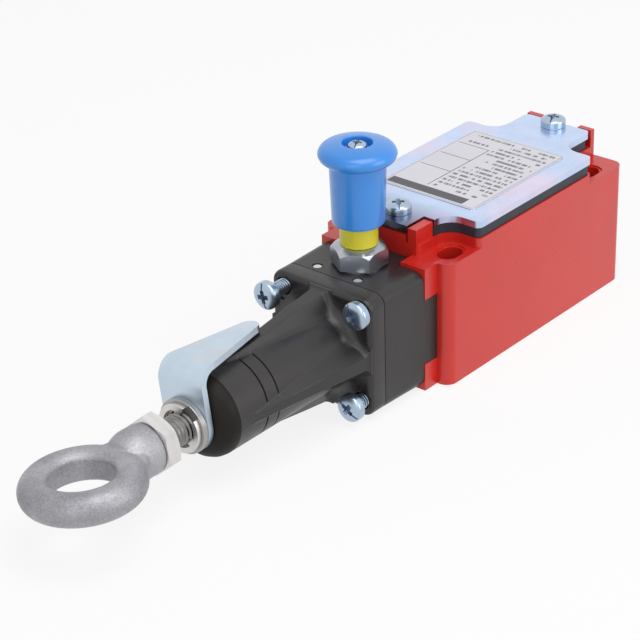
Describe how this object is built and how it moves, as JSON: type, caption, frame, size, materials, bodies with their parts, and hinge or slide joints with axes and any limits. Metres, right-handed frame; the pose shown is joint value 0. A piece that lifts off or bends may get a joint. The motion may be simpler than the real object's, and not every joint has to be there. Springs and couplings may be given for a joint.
{
  "type": "rope pull switch",
  "caption": "Safety rope pull switch with a red contact housing, dark actuating head, sprung rope eye with a tension indicator, and a blue pull-to-reset knob.",
  "frame": {"origin": "centre of the four fixing slots, on the fixing face", "axes": "+X to the cable entry, -X to the rope eye, +Y across the housing, +Z out of the fixing face towards the cover and knob"},
  "size_m": [0.1981, 0.04, 0.065],
  "materials": {
    "painted_red": "gloss casting paint, orange peel",
    "gasket_rubber": "moulded",
    "zinc_blue": "zinc plated, blue passivated",
    "label_grey": "satin label stock",
    "zinc_screw": "zinc plated",
    "head_charcoal": "satin casting paint",
    "seal_black": "moulded",
    "cap_brown": "satin",
    "steel_plain": "turned",
    "spring_steel": "drawn wire",
    "slider_white": "moulded",
    "cast_grey": "galvanised forging",
    "knob_blue": "moulded",
    "sleeve_yellow": "moulded",
    "block_black": "moulded",
    "brass_part": "stamped",
    "copper_part": "stamped"
  },
  "bodies": {
    "body": {"housing": "painted_red", "cover_gasket": "gasket_rubber", "cover_plate": "zinc_blue", "rating_plate": "label_grey", "cover_screws": "zinc_screw", "head_block": "head_charcoal", "head_seal": "seal_black", "head_screws": "zinc_screw", "dowel_pins": "steel_plain", "nose_housing": "head_charcoal", "rod_seal": "seal_black", "nose_cap": "cap_brown", "main_spring": "spring_steel", "reset_bushing": "zinc_screw", "latch_spring": "spring_steel", "contact_base": "block_black", "block_screws": "zinc_screw", "fixed_contacts": "brass_part", "terminal_screws": "zinc_screw", "contact_spring": "spring_steel", "earth_screw": "brass_part"},
    "rope_rod": {"pull_rod": "steel_plain", "slider": "slider_white", "flat_washer": "steel_plain", "retaining_clip": "steel_plain", "lock_nut": "steel_plain", "eye_nut": "cast_grey"},
    "indicator": {"tension_indicator": "zinc_blue"},
    "knob": {"reset_knob": "knob_blue", "knob_screw": "zinc_screw", "indicator_sleeve": "sleeve_yellow", "reset_stem": "steel_plain"},
    "plunger": {"contact_plunger": "slider_white", "contact_bridge": "copper_part"}
  },
  "joints": [
    {"name": "rope_pull", "type": "slide", "parent": "body", "child": "rope_rod", "axis": [-1, 0, 0], "range_m": [0, 0.012], "stiffness_N_per_m": 2500, "deforming": ["main_spring"]},
    {"name": "indicator_swivel", "type": "hinge", "parent": "rope_rod", "child": "indicator", "pos_m": [-0.109, 0, 0.0167], "axis": [1, 0, 0], "continuous": true},
    {"name": "reset_pull", "type": "slide", "parent": "body", "child": "knob", "axis": [0, 0, 1], "range_m": [0, 0.003], "stiffness_N_per_m": 1500, "deforming": ["latch_spring"]},
    {"name": "plunger_follow", "type": "slide", "parent": "body", "child": "plunger", "axis": [-1, 0, 0], "range_m": [0, 0.0042], "deforming": ["contact_spring"]}
  ],
  "couplings": [
    {"joint": "plunger_follow", "follows": "rope_pull", "ratio": 0.35}
  ]
}
